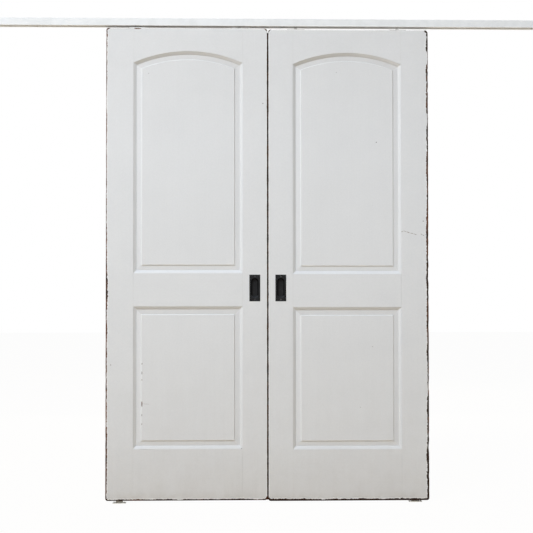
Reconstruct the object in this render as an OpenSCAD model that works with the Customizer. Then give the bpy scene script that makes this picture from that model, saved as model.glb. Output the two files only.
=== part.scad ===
// Pair of sliding closet doors that part in the middle: two stile-and-rail leaves, each with an
// arch-topped and a square raised panel, hung on four-wheel trolleys from one overhead track.
// X runs along the track, Y through the leaves (front is -Y), Z is up and the floor is Z = 0.

/* [Leaf] */
// Width of one leaf
leaf_w = 694; // [600:1:900]
// Height of one leaf
leaf_h = 2032; // [1900:1:2200]
// Thickness of the stiles and rails
leaf_t = 35; // [32:1:45]
// Gap between the two leaves when they are closed
meeting_gap = 4; // [2:0.5:10]
// Gap between the floor and the left leaf
floor_gap = 12; // [10:0.5:20]
// How much lower the right leaf hangs than the left one
right_drop = 4; // [0:0.5:6]
// Radius of the worn corners of a leaf, seen from the front
corner_r = 12; // [4:0.5:16]
// Radius of the long edges on the outer side of a leaf
outer_arris = 5; // [1:0.5:8]
// Radius of the long edges where the leaves meet
meeting_arris = 2; // [1:0.5:5]
// Radius of the edges along the bottom
bottom_arris = 4; // [1:0.5:6]
// Radius of the edges along the top
top_arris = 2; // [1:0.5:5]

/* [Stiles and rails] */
// Face width of the outer stile
outer_stile_w = 118; // [90:1:140]
// Face width of the stile at the meeting edge
meeting_stile_w = 106; // [98:1:140]
// Face width of the top rail under the crown of the arch
top_rail_w = 100; // [80:1:160]
// Face width of the lock rail
lock_rail_w = 143; // [110:1:200]
// Face width of the bottom rail
bottom_rail_w = 221; // [190:1:280]
// Height of the lower opening
lower_opening_h = 610; // [400:1:700]
// Rise of the arch over the upper opening
arch_rise = 50; // [20:1:90]
// Gap left by the glue line between a stile and a rail
joint_gap = 0.3; // [0.1:0.05:0.6]

/* [Moulded edge and panels] */
// Width of the moulded edge around an opening
stick_w = 12.5; // [9:0.5:18]
// Square step where the moulded edge leaves the face
stick_quirk = 1.2; // [0.5:0.1:2]
// Square lip left between the moulded edge and the panel groove
stick_lip = 0.6; // [0.4:0.1:3]
// Half of the angle that the round of the moulded edge turns through
ovolo_bend = 9; // [5:1:40]
// Depth of the panel groove
groove_d = 12; // [8:0.5:16]
// Width of the panel groove
groove_t = 15; // [8:0.5:18]
// Room for the panel to swell at the bottom of the groove
panel_gap = 2.5; // [1:0.5:5]
// Clearance on each side of the panel's tongue
tongue_gap = 0.2; // [0.1:0.05:0.4]
// Width of the sloped margin of a raised panel
bevel_w = 22; // [15:0.5:40]
// How far the raised field lies below the face of the frame
field_set = 3; // [1:0.5:5]
// Height of the step between the sloped margin and the field
field_step = 4.5; // [0.5:0.5:6]
// Width of that step
step_w = 2; // [0.5:0.5:5]

/* [Meeting bead] */
// Thickness of the bead in the right leaf's meeting edge
bead_t = 11; // [8:0.5:13]
// How far the bead reaches into the left leaf
bead_reach = 6; // [3:0.5:7]
// Depth of the groove in each meeting edge
bead_seat = 8; // [8:0.5:12]
// Clearance on each side of the bead
bead_gap = 0.3; // [0.2:0.05:0.6]

/* [Dowels] */
// Diameter of a dowel
dowel_d = 12; // [8:1:14]
// Length of a dowel
dowel_l = 70; // [50:1:76]
// Clearance around a dowel, which the glue fills
dowel_gap = 0.1; // [0.05:0.05:0.3]
// Distance between neighbouring dowels in one joint
dowel_pitch = 56; // [40:1:70]

/* [Flush pull] */
// Width of the plate
pull_w = 46.5; // [40:0.5:60]
// Height of the plate
pull_h = 114.5; // [100:0.5:150]
// Thickness of the plate in front of the leaf
pull_t = 2; // [1.5:0.1:4]
// Width of the sloped border of the plate
pull_bevel = 4; // [1:0.5:5]
// Width of the finger recess
recess_w = 30; // [22:1:32]
// Height of the finger recess
recess_h = 83; // [60:1:86]
// Depth of the finger recess from the face of the leaf
recess_d = 10; // [6:0.5:11]
// Wall of the cup behind the recess
cup_wall = 1.5; // [1:0.1:2.5]
// Clearance of the mortise around the cup
cup_gap = 0.5; // [0.2:0.1:1]
// Distance from the meeting edge to the middle of the pull
pull_backset = 54; // [45:1:60]
// Height of the middle of both pulls above the floor
pull_height = 922; // [860:1:1000]
// Diameter of a pull screw's head
pull_screw_head_d = 6.4; // [5:0.1:7]
// Diameter of a pull screw
pull_screw_d = 3; // [2.5:0.1:3.5]
// Length of a pull screw
pull_screw_l = 14; // [10:1:16]

/* [Hanger] */
// Distance from the stile joint to the hanger bolt
hanger_inset = 14; // [11:1:24]
// Length of the hanger plate
plate_l = 76; // [66:1:90]
// Width of the hanger plate
plate_w = 26; // [20:1:28]
// Thickness of the hanger plate
plate_t = 3; // [2:0.5:3.5]
// Diameter of the hanger bolt
bolt_d = 8; // [6:0.5:9]
// Size of the bolt head and lock nut across flats
hex_af = 13; // [11:0.5:14]
// Height of the bolt head
bolt_head_h = 5.5; // [4:0.5:7]
// Height of the lock nut
nut_h = 4.5; // [3:0.5:5]
// Diameter of a plate screw's head
plate_screw_head_d = 7; // [6:0.1:8]
// Diameter of a plate screw
plate_screw_d = 3.6; // [3:0.1:4.5]
// Length of a plate screw
plate_screw_l = 28; // [20:1:40]

/* [Trolley] */
// Diameter of a trolley wheel
wheel_d = 25; // [20:0.5:28]
// Width of a trolley wheel
wheel_w = 7; // [5:0.5:9]
// Distance between the two axles of a trolley
axle_pitch = 42; // [36:1:60]
// Diameter of an axle
axle_d = 5; // [4:0.5:6]
// Running clearance around an axle
axle_gap = 0.05; // [0.02:0.01:0.1]
// Width of the trolley body
trolley_w = 10; // [9.5:0.5:12]
// Height of the trolley body
trolley_h = 18; // [14:0.5:20]
// How far the trolley body stands out past its wheels
trolley_nose = 2; // [1:0.5:5]
// Side play of a wheel on its axle
wheel_play = 0.4; // [0.2:0.1:1]
// Gap between the wheels and the floor of the track
rolling_gap = 0.3; // [0.2:0.05:0.5]

/* [Track] */
// Width of the track
track_w = 38; // [34:0.5:50]
// Height of the track
track_h = 32; // [31.5:0.5:45]
// Wall of the track
track_wall = 2.2; // [1.6:0.1:3]
// Width of the slot under the track
slot_w = 13; // [12:0.5:15]
// Gap between the top of the left leaf and the track
track_gap = 10; // [9:0.5:16]
// How far each leaf opens
travel = 620; // [300:1:640]
// Length of track past an open leaf
track_margin = 14; // [5:1:40]
// Diameter of the fixing holes in the top of the track
track_hole_d = 6; // [4:0.5:8]
// Distance between neighbouring fixing holes
track_hole_pitch = 430; // [300:1:430]
// Length of a stop block in the track
stop_l = 28; // [20:1:40]
// Length of the rubber bumper on a stop
bumper_l = 10; // [6:1:16]
// Gap between a trolley and the bumper that stops it
stop_gap = 0.4; // [0.3:0.1:2]

/* [Floor guide] */
// Length of the guide's base
guide_l = 56; // [50:1:90]
// Width of the guide's base
guide_w = 24; // [20:1:34]
// Thickness of the guide's base
guide_t = 3; // [2:0.5:3.5]
// Length of the guide's blade
blade_l = 30; // [20:1:36]
// Thickness of the guide's blade
blade_t = 6; // [4:0.5:8]
// Height of the guide's blade above its base
blade_h = 22; // [18:0.5:24]
// Clearance on each side of the blade
blade_gap = 0.6; // [0.3:0.1:1.5]
// Depth of the guide groove in the bottom of a leaf
kerf_d = 22; // [20:0.5:26]
// Diameter of the holes in the guide's base
guide_hole_d = 4.5; // [3.5:0.5:6]
// Distance between the holes in the guide's base
guide_hole_pitch = 42; // [40:1:44]

/* [Hidden] */
$fn = 72;
arch_fn = 256;
cut = 1;
hex_spread = 1 / cos(30);
left = -1;
right = 1;
front = 1;
back = -1;

// Openings of a leaf, measured from its outer bottom corner
open_x0 = outer_stile_w;
open_x1 = leaf_w - meeting_stile_w;
open_w = open_x1 - open_x0;
lower_z0 = bottom_rail_w;
lower_z1 = lower_z0 + lower_opening_h;
upper_z0 = lower_z1 + lock_rail_w;
crown_z = leaf_h - top_rail_w;
arch_r = open_w * open_w / (8 * arch_rise) + arch_rise / 2;
arch_x = (open_x0 + open_x1) / 2;
arch_z = crown_z - arch_r;
horn_z = arch_z + sqrt(pow(arch_r - stick_w, 2) - pow(open_w / 2, 2));

// Section of the moulded edge: u runs into the opening from its edge, v down from the face
stick_depth = (leaf_t - groove_t) / 2 - stick_lip;
ovolo_chord = [stick_w, stick_depth - stick_quirk];
ovolo_r = norm(ovolo_chord) / 2 / sin(ovolo_bend);
ovolo_dir = ovolo_chord / norm(ovolo_chord);
ovolo_c = [0, stick_quirk] + ovolo_chord / 2 - [ovolo_dir[1], -ovolo_dir[0]] * ovolo_r * cos(ovolo_bend);
groove_u = stick_w - groove_d;
panel_u = groove_u + panel_gap;
tongue_v = (leaf_t - groove_t) / 2 + tongue_gap;
field_u = stick_w + bevel_w;

// Dowels: [height of the joint's lowest dowel, number of dowels]
dowel_rows = [
    [(bottom_rail_w + kerf_d) / 2 - dowel_pitch, 3],
    [(lower_z1 + upper_z0) / 2 - dowel_pitch / 2, 2],
    [(crown_z - arch_rise + leaf_h) / 2 - dowel_pitch / 2, 2]
];

// Pull and hanger places in a leaf
pull_x = leaf_w - pull_backset;
pull_screw_z = (pull_h / 2 + recess_h / 2) / 2;
outer_hanger_x = outer_stile_w + hanger_inset;
meeting_hanger_x = leaf_w - meeting_stile_w - hanger_inset;
hanger_xs = [outer_hanger_x, meeting_hanger_x];
plate_screw_x = plate_l / 2 - plate_screw_head_d;
plate_screw_y = plate_w / 2 - plate_screw_head_d * 0.75;
pocket_r = hex_af / 2 * hex_spread + 1;
pocket_d = bolt_head_h + 2;
kerf_t = blade_t + 2 * blade_gap;

// Heights above the floor
track_z = floor_gap + leaf_h + track_gap;
track_floor = track_z + track_wall;
axle_z = track_floor + rolling_gap + wheel_d / 2;
wheel_y = trolley_w / 2 + wheel_play + wheel_w / 2;
trolley_l = axle_pitch + wheel_d + 2 * trolley_nose;

// Places along the track
leaf_x0 = meeting_gap / 2 + leaf_w;
track_l = 2 * (leaf_x0 + travel + track_margin);
end_bumper_x = leaf_x0 - outer_hanger_x + travel + trolley_l / 2 + stop_gap;
centre_bumper_x = leaf_x0 - meeting_hanger_x - trolley_l / 2 - stop_gap;
guide_x = leaf_x0 - outer_stile_w / 2;
track_hole_n = 3;

function leaf_z(side) = floor_gap - (side == right ? right_drop : 0);
function leaf_top(side) = leaf_z(side) + leaf_h;
function pull_z(side) = pull_height - leaf_z(side);
function arc(x, y, r, from, to, steps = 6) =
    [for (i = [0:steps]) let (a = from + (to - from) * i / steps) [x + r * cos(a), y + r * sin(a)]];
function round_box(x0, y0, x1, y1, low_r, high_r) = concat(
    arc(x0 + low_r, y0 + low_r, low_r, 180, 270),
    arc(x1 - low_r, y0 + low_r, low_r, 270, 360),
    arc(x1 - high_r, y1 - high_r, high_r, 0, 90),
    arc(x0 + high_r, y1 - high_r, high_r, 90, 180)
);

// Places and helpers

// Puts what is drawn from a leaf's outer edge at X = 0 into the left or right half of the opening
module along(side) {
    mirror([side == right ? 1 : 0, 0, 0]) translate([-leaf_x0, 0, 0]) children();
}

// The same, with the leaf's bottom edge at Z = 0
module in_leaf(side) {
    along(side) translate([0, 0, leaf_z(side)]) children();
}

// Front view outline drawn in X and Z, made a solid of thickness t across the middle of the leaf
module upright(t) {
    rotate([90, 0, 0]) linear_extrude(height = t, center = true) children();
}

module x_bar(length) {
    rotate([90, 0, 90]) linear_extrude(height = length) children();
}

module x_pin(r, length) {
    rotate([0, 90, 0]) cylinder(r = r, h = length);
}

module y_pin(r, length) {
    rotate([90, 0, 0]) cylinder(r = r, h = length, center = true);
}

module slot_shape(w, h) {
    square([w, h - w], center = true);
    for (end = [-1, 1]) translate([0, end * (h - w) / 2]) circle(d = w);
}

module countersunk_screw(d, head_d, length) {
    head_h = (head_d - d) / 2;
    translate([0, 0, -head_h]) cylinder(d1 = d, d2 = head_d, h = head_h);
    translate([0, 0, -length]) cylinder(d = d, h = length - head_h);
}

module countersunk_hole(d, head_d, length) {
    gap = 0.1;
    head_h = (head_d - d) / 2;
    translate([0, 0, -head_h]) cylinder(d1 = d + 2 * gap, d2 = head_d + 2 * gap, h = head_h);
    cylinder(d = head_d + 2 * gap, h = cut);
    translate([0, 0, -length - cut]) cylinder(d = d + 2 * gap, h = length + cut);
}

// Stiles and rails

// What the moulding cutter takes off the front face, in u and Y
module stick_relief() {
    face = -leaf_t / 2;
    difference() {
        polygon([
            [0, face - cut], [stick_w + cut, face - cut], [stick_w + cut, face + stick_depth],
            [stick_w, face + stick_depth], [0, face + stick_quirk]
        ]);
        translate([ovolo_c[0], face + ovolo_c[1]]) circle(r = ovolo_r);
    }
}

// Everything that is cut out of an inner edge: the moulding on both faces and the panel groove
module edge_relief() {
    stick_relief();
    mirror([0, 1]) stick_relief();
    translate([groove_u, -groove_t / 2]) square([groove_d + cut, groove_t]);
}

// Section of a member with a moulded inner edge at u = 0 and its back edge at u = -face_w
module edge_section(face_w, arris) {
    difference() {
        polygon(concat(
            arc(arris - face_w, arris - leaf_t / 2, arris, 270, 180),
            arc(arris - face_w, leaf_t / 2 - arris, arris, 180, 90),
            [[stick_w, leaf_t / 2], [stick_w, -leaf_t / 2]]
        ));
        edge_relief();
    }
}

// A leaf's rounded outline, and its rounded top and bottom edges
module leaf_envelope() {
    intersection() {
        upright(leaf_t + 2 * cut) polygon(round_box(0, 0, leaf_w, leaf_h, corner_r, corner_r));
        translate([-cut, 0, 0]) x_bar(leaf_w + 2 * cut)
            polygon(round_box(-leaf_t / 2, 0, leaf_t / 2, leaf_h, bottom_arris, top_arris));
    }
}

module guide_kerf() {
    translate([-cut, -kerf_t / 2, -cut]) cube([leaf_w + 2 * cut, kerf_t, kerf_d + cut]);
}

module dowel_row(r, length) {
    for (row = dowel_rows, i = [0:row[1] - 1], x = [open_x0, open_x1])
        translate([x - length / 2, 0, row[0] + i * dowel_pitch]) x_pin(r, length);
}

module dowel_holes() {
    dowel_row(dowel_d / 2 + dowel_gap, dowel_l + 2 * cut);
}

module outer_stile_bar() {
    translate([open_x0, 0, 0]) linear_extrude(height = leaf_h) edge_section(outer_stile_w, outer_arris);
}

module meeting_stile_bar() {
    translate([open_x1, 0, 0]) mirror([1, 0, 0])
        linear_extrude(height = leaf_h) edge_section(meeting_stile_w, meeting_arris);
}

module hanger_screw_holes() {
    for (x = hanger_xs) translate([x, 0, leaf_h]) hanger_screw_places()
        translate([0, 0, -plate_screw_l]) cylinder(d = plate_screw_d + 0.2, h = plate_screw_l + cut);
}

module hanger_screw_places() {
    for (sx = [-1, 1], sy = [-1, 1])
        translate([sx * plate_screw_x, sy * plate_screw_y, 0]) children();
}

module outer_stile() {
    color("whitesmoke") difference() {
        intersection() {
            outer_stile_bar();
            leaf_envelope();
        }
        guide_kerf();
        dowel_holes();
        hanger_screw_holes();
    }
}

module pull_mortise(face, side) {
    translate([pull_x, -face * leaf_t / 2, pull_z(side)]) {
        upright(2 * (recess_d + cup_wall + cup_gap))
            slot_shape(recess_w + 2 * (cup_wall + cup_gap), recess_h + 2 * (cup_wall + cup_gap));
        for (end = [-1, 1]) translate([0, 0, end * pull_screw_z])
            y_pin(pull_screw_d / 2 + 0.1, 2 * pull_screw_l);
    }
}

// Groove along the meeting edge, which holds the bead on one leaf and takes it in on the other
module bead_groove() {
    groove_w = bead_t + 2 * bead_gap;
    translate([leaf_w - bead_seat, -groove_w / 2, -cut]) cube([bead_seat + cut, groove_w, leaf_h + 2 * cut]);
}

module meeting_bead() {
    out = meeting_gap + bead_reach;
    nose = 3;
    foot = kerf_d + bead_gap;
    color("saddlebrown") translate([leaf_w, 0, foot]) linear_extrude(height = leaf_h - corner_r - foot)
        polygon(concat(
            [[-bead_seat, -bead_t / 2]],
            arc(out - nose, nose - bead_t / 2, nose, 270, 360),
            arc(out - nose, bead_t / 2 - nose, nose, 0, 90),
            [[-bead_seat, bead_t / 2]]
        ));
}

module meeting_stile(side) {
    color("whitesmoke") difference() {
        intersection() {
            meeting_stile_bar();
            leaf_envelope();
        }
        guide_kerf();
        bead_groove();
        dowel_holes();
        hanger_screw_holes();
        pull_mortise(front, side);
        pull_mortise(back, side);
    }
}

// Coped ends: a rail is cut to the stiles it meets, less the glue line
module cope() {
    translate([joint_gap, 0, 0]) outer_stile_bar();
    translate([-joint_gap, 0, 0]) meeting_stile_bar();
}

// Moulded edge along X at height z; up is 1 where the opening lies above it
module straight_relief(z, up) {
    translate([open_x0 - cut, 0, z]) mirror([0, 0, up > 0 ? 0 : 1])
        rotate([90, 0, 90]) linear_extrude(height = open_w + 2 * cut)
            rotate(90) mirror([0, 1]) edge_relief();
}

module top_rail() {
    low_z = horn_z - cut;
    color("whitesmoke") difference() {
        intersection() {
            translate([open_x0, -leaf_t / 2, low_z]) cube([open_w, leaf_t, leaf_h - low_z]);
            leaf_envelope();
        }
        translate([arch_x, 0, arch_z]) rotate([90, 0, 0])
            cylinder(r = arch_r - stick_w, h = leaf_t + 2 * cut, center = true, $fn = arch_fn);
        translate([arch_x, 0, arch_z]) rotate([90, 0, 0]) rotate_extrude(angle = 180, $fn = arch_fn)
            translate([arch_r, 0]) mirror([1, 0]) edge_relief();
        cope();
        dowel_holes();
        hanger_screw_holes();
        for (x = hanger_xs) translate([x, 0, leaf_h - pocket_d]) cylinder(r = pocket_r, h = pocket_d + cut);
    }
}

module lock_rail() {
    color("whitesmoke") difference() {
        translate([open_x0, -leaf_t / 2, lower_z1 - stick_w])
            cube([open_w, leaf_t, lock_rail_w + 2 * stick_w]);
        straight_relief(upper_z0, 1);
        straight_relief(lower_z1, -1);
        cope();
        dowel_holes();
    }
}

module bottom_rail() {
    color("whitesmoke") difference() {
        intersection() {
            translate([open_x0, -leaf_t / 2, 0]) cube([open_w, leaf_t, lower_z0 + stick_w]);
            leaf_envelope();
        }
        straight_relief(lower_z0, 1);
        cope();
        guide_kerf();
        dowel_holes();
    }
}

module dowels() {
    color("burlywood") dowel_row(dowel_d / 2, dowel_l);
}

// Raised panels

// What the panel cutter takes off the front face, in u and Y
module bevel_relief() {
    face = -leaf_t / 2;
    polygon([
        [panel_u - cut, face], [panel_u - cut, face + tongue_v], [stick_w, face + tongue_v],
        [field_u, face + field_set + field_step], [field_u + step_w, face + field_set],
        [field_u + step_w, face]
    ]);
}

module panel_relief() {
    bevel_relief();
    mirror([0, 1]) bevel_relief();
}

// Sloped margin along X at height z; up is 1 where the panel lies above it
module level_margin(z, up) {
    translate([open_x0, 0, z]) mirror([0, 0, up > 0 ? 0 : 1])
        rotate([90, 0, 90]) linear_extrude(height = open_w)
            rotate(90) mirror([0, 1]) panel_relief();
}

module side_margins(z0, z1) {
    translate([open_x0, 0, z0]) linear_extrude(height = z1 - z0) panel_relief();
    translate([open_x1, 0, z0]) linear_extrude(height = z1 - z0) mirror([1, 0]) panel_relief();
}

module lower_panel() {
    color("whitesmoke") difference() {
        translate([open_x0 + panel_u, field_set - leaf_t / 2, lower_z0 + panel_u])
            cube([open_w - 2 * panel_u, leaf_t - 2 * field_set, lower_opening_h - 2 * panel_u]);
        side_margins(lower_z0, lower_z1);
        level_margin(lower_z0, 1);
        level_margin(lower_z1, -1);
    }
}

module upper_panel() {
    color("whitesmoke") difference() {
        upright(leaf_t - 2 * field_set) intersection() {
            translate([open_x0 + panel_u, upper_z0 + panel_u])
                square([open_w - 2 * panel_u, crown_z - upper_z0]);
            translate([arch_x, arch_z]) circle(r = arch_r - panel_u, $fn = arch_fn);
        }
        side_margins(upper_z0, crown_z);
        level_margin(upper_z0, 1);
        translate([arch_x, 0, arch_z]) rotate([90, 0, 0]) rotate_extrude(angle = 180, $fn = arch_fn)
            translate([arch_r, 0]) mirror([1, 0]) panel_relief();
    }
}

// Flush pulls

// Runs from the face of the leaf at Y = 0; the plate stands out towards -Y
module pull_body() {
    plate = [pull_w, pull_h];
    border = plate - 2 * [pull_bevel, pull_bevel];
    color([0.06, 0.06, 0.06]) difference() {
        union() {
            hull() {
                translate([-plate[0] / 2, -pull_t / 3, -plate[1] / 2])
                    cube([plate[0], pull_t / 3, plate[1]]);
                translate([-border[0] / 2, -pull_t, -border[1] / 2])
                    cube([border[0], pull_t, border[1]]);
            }
            translate([0, (recess_d + cup_wall) / 2, 0]) upright(recess_d + cup_wall)
                slot_shape(recess_w + 2 * cup_wall, recess_h + 2 * cup_wall);
        }
        translate([0, (recess_d - pull_t - cut) / 2, 0]) upright(recess_d + pull_t + cut)
            slot_shape(recess_w, recess_h);
        for (end = [-1, 1]) translate([0, -pull_t, end * pull_screw_z]) rotate([90, 0, 0])
            countersunk_hole(pull_screw_d, pull_screw_head_d, pull_screw_l);
    }
}

module on_face(face, side) {
    mirror([0, face == back ? 1 : 0, 0]) translate([pull_x, -leaf_t / 2, pull_z(side)]) children();
}

module pull(face, side) {
    on_face(face, side) pull_body();
}

module pull_screws(side) {
    color([0.1, 0.1, 0.1]) for (face = [front, back], end = [-1, 1])
        on_face(face, side) translate([0, -pull_t, end * pull_screw_z]) rotate([90, 0, 0])
            countersunk_screw(pull_screw_d, pull_screw_head_d, pull_screw_l);
}

// Hangers

module hanger_plate(x) {
    bolt_hole = bolt_d + 1;
    color("silver") translate([x, 0, leaf_h]) difference() {
        linear_extrude(height = plate_t)
            polygon(round_box(-plate_l / 2, -plate_w / 2, plate_l / 2, plate_w / 2, 4, 4));
        translate([0, 0, -cut]) cylinder(d = bolt_hole, h = plate_t + 2 * cut);
        translate([0, 0, plate_t]) hanger_screw_places()
            countersunk_hole(plate_screw_d, plate_screw_head_d, plate_screw_l);
    }
}

module plate_screws() {
    color("silver") for (x = hanger_xs) translate([x, 0, leaf_h + plate_t]) hanger_screw_places()
        countersunk_screw(plate_screw_d, plate_screw_head_d, plate_screw_l);
}

// The bolt's head sits in a pocket under the plate, and its shank screws into the trolley
module hanger_bolt(x, side) {
    head_top = leaf_top(side);
    color("silver") translate([x, 0, 0]) {
        translate([0, 0, head_top - bolt_head_h])
            cylinder(d = hex_af * hex_spread, h = bolt_head_h, $fn = 6);
        translate([0, 0, head_top]) cylinder(d = bolt_d, h = axle_z + trolley_h / 2 + 1 - head_top);
    }
}

module lock_nuts(side) {
    color("silver") for (x = hanger_xs) translate([x, 0, leaf_top(side) + plate_t]) difference() {
        cylinder(d = hex_af * hex_spread, h = nut_h, $fn = 6);
        translate([0, 0, -cut]) cylinder(d = bolt_d + 0.1, h = nut_h + 2 * cut);
    }
}

// Trolleys

module trolley(x) {
    color("dimgray") translate([x, 0, axle_z]) difference() {
        upright(trolley_w) rotate(90) slot_shape(trolley_h, trolley_l);
        for (end = [-1, 1]) translate([end * axle_pitch / 2, 0, 0])
            y_pin(axle_d / 2 + 0.02, trolley_w + 2 * cut);
        translate([0, 0, -trolley_h / 2 - cut]) cylinder(d = bolt_d + 0.1, h = trolley_h + 2 * cut);
    }
}

function axle_x(pair) = hanger_xs[floor((pair - 1) / 2)] + ((pair - 1) % 2 - 0.5) * axle_pitch;

module axles() {
    head_t = 1.2;
    axle_end = wheel_y + wheel_w / 2 + wheel_play;
    color("silver") for (pair = [1:4]) translate([axle_x(pair), 0, axle_z]) {
        y_pin(axle_d / 2, 2 * axle_end);
        for (end = [-1, 1]) translate([0, end * (axle_end + head_t / 2), 0]) y_pin(axle_d / 2 + 1.5, head_t);
    }
}

// One wheel turned about Z: a crowned tread, a sunk web and a hub
module wheel() {
    r = wheel_d / 2;
    bore = axle_d / 2 + axle_gap;
    hub = bore + 2;
    rim = r - 2.5;
    web = wheel_w / 2 - 1.5;
    half = wheel_w / 2;
    rotate_extrude() polygon([
        [bore, -half], [hub, -half], [hub + 0.5, -web], [rim - 0.5, -web], [rim, -half],
        [r - 1, -half], [r, 1 - half], [r, half - 1], [r - 1, half],
        [rim, half], [rim - 0.5, web], [hub + 0.5, web], [hub, half], [bore, half]
    ]);
}

module wheel_pair(pair) {
    color("ivory") for (end = [-1, 1]) translate([axle_x(pair), end * wheel_y, axle_z])
        rotate([90, 0, 0]) wheel();
}

// Track, stops and floor guides

module head_track() {
    inner_w = track_w - 2 * track_wall;
    inner_h = track_h - 2 * track_wall;
    color("gainsboro") difference() {
        translate([-track_l / 2, 0, track_z]) x_bar(track_l) difference() {
            polygon(round_box(-track_w / 2, 0, track_w / 2, track_h, 1, 1));
            translate([-inner_w / 2, track_wall]) square([inner_w, inner_h]);
            translate([-slot_w / 2, -cut]) square([slot_w, track_wall + 2 * cut]);
        }
        for (side = [left, right], i = [1:track_hole_n])
            translate([side * (i - 0.5) * track_hole_pitch, 0, track_z + track_h - track_wall - cut])
                cylinder(d = track_hole_d, h = track_wall + 2 * cut);
    }
}

// A block that fills the track, with its set screw's boss in the slot
module stop_block(x) {
    side_gap = 0.3;
    block_w = track_w - 2 * track_wall - 2 * side_gap;
    block_h = trolley_h;
    color("dimgray") translate([x, 0, track_floor]) {
        translate([0, -block_w / 2, 0]) cube([stop_l, block_w, block_h]);
        translate([stop_l / 2, 0, -track_wall]) cylinder(d = slot_w - 2 * side_gap, h = track_wall);
    }
}

module end_stop(side) {
    mirror([side == right ? 0 : 1, 0, 0]) stop_block(end_bumper_x + bumper_l);
}

module centre_stops() {
    for (side = [left, right])
        mirror([side == right ? 0 : 1, 0, 0]) stop_block(centre_bumper_x - bumper_l - stop_l);
}

module stop_bumpers() {
    bumper_d = trolley_h - 4;
    color([0.12, 0.12, 0.12]) for (side = [left, right], x = [end_bumper_x, centre_bumper_x - bumper_l])
        mirror([side == right ? 0 : 1, 0, 0]) translate([x, 0, track_floor + trolley_h / 2])
            x_pin(bumper_d / 2, bumper_l);
}

module floor_guide(side) {
    color("ivory") translate([side * guide_x, 0, 0]) difference() {
        union() {
            linear_extrude(height = guide_t)
                polygon(round_box(-guide_l / 2, -guide_w / 2, guide_l / 2, guide_w / 2, 5, 5));
            linear_extrude(height = guide_t + blade_h) rotate(90) slot_shape(blade_t, blade_l);
        }
        for (end = [-1, 1]) translate([end * guide_hole_pitch / 2, 0, -cut])
            cylinder(d = guide_hole_d, h = guide_t + 2 * cut);
    }
}

// Nodes

head_track();
end_stop(left);  // left_end_stop
end_stop(right);  // right_end_stop
centre_stops();
stop_bumpers();
floor_guide(left);  // left_floor_guide
floor_guide(right);  // right_floor_guide
in_leaf(left) outer_stile();  // left_outer_stile
in_leaf(left) meeting_stile(left);  // left_meeting_stile
in_leaf(left) top_rail();  // left_top_rail
in_leaf(left) lock_rail();  // left_lock_rail
in_leaf(left) bottom_rail();  // left_bottom_rail
in_leaf(left) upper_panel();  // left_upper_panel
in_leaf(left) lower_panel();  // left_lower_panel
in_leaf(left) dowels();  // left_dowels
in_leaf(left) pull(front, left);  // left_front_pull
in_leaf(left) pull(back, left);  // left_back_pull
in_leaf(left) pull_screws(left);  // left_pull_screws
in_leaf(left) hanger_plate(outer_hanger_x);  // left_outer_hanger_plate
in_leaf(left) hanger_plate(meeting_hanger_x);  // left_meeting_hanger_plate
in_leaf(left) plate_screws();  // left_plate_screws
along(left) hanger_bolt(outer_hanger_x, left);  // left_outer_hanger_bolt
along(left) hanger_bolt(meeting_hanger_x, left);  // left_meeting_hanger_bolt
along(left) lock_nuts(left);  // left_lock_nuts
along(left) trolley(outer_hanger_x);  // left_outer_trolley
along(left) trolley(meeting_hanger_x);  // left_meeting_trolley
along(left) axles();  // left_axles
along(left) wheel_pair(1);  // left_wheel_pair_1
along(left) wheel_pair(2);  // left_wheel_pair_2
along(left) wheel_pair(3);  // left_wheel_pair_3
along(left) wheel_pair(4);  // left_wheel_pair_4
in_leaf(right) outer_stile();  // right_outer_stile
in_leaf(right) meeting_stile(right);  // right_meeting_stile
in_leaf(right) top_rail();  // right_top_rail
in_leaf(right) lock_rail();  // right_lock_rail
in_leaf(right) bottom_rail();  // right_bottom_rail
in_leaf(right) upper_panel();  // right_upper_panel
in_leaf(right) lower_panel();  // right_lower_panel
in_leaf(right) dowels();  // right_dowels
in_leaf(right) meeting_bead();  // right_meeting_bead
in_leaf(right) pull(front, right);  // right_front_pull
in_leaf(right) pull(back, right);  // right_back_pull
in_leaf(right) pull_screws(right);  // right_pull_screws
in_leaf(right) hanger_plate(outer_hanger_x);  // right_outer_hanger_plate
in_leaf(right) hanger_plate(meeting_hanger_x);  // right_meeting_hanger_plate
in_leaf(right) plate_screws();  // right_plate_screws
along(right) hanger_bolt(outer_hanger_x, right);  // right_outer_hanger_bolt
along(right) hanger_bolt(meeting_hanger_x, right);  // right_meeting_hanger_bolt
along(right) lock_nuts(right);  // right_lock_nuts
along(right) trolley(outer_hanger_x);  // right_outer_trolley
along(right) trolley(meeting_hanger_x);  // right_meeting_trolley
along(right) axles();  // right_axles
along(right) wheel_pair(1);  // right_wheel_pair_1
along(right) wheel_pair(2);  // right_wheel_pair_2
along(right) wheel_pair(3);  // right_wheel_pair_3
along(right) wheel_pair(4);  // right_wheel_pair_4
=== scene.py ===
import math
from functools import reduce

import bpy
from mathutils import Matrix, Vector, noise


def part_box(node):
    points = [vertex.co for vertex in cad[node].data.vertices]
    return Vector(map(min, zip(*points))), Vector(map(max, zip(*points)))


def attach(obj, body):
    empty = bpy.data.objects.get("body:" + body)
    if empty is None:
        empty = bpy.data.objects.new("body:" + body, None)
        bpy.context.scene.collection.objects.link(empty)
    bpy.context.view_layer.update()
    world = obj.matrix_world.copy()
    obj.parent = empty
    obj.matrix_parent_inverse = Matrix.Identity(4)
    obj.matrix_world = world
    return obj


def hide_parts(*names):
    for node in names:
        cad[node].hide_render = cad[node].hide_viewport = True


# A pair of old white sliding closet doors that part in the middle, under one overhead track.
# Everything is in metres: X along the track, the front face towards -Y, Z up from the floor.

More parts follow.
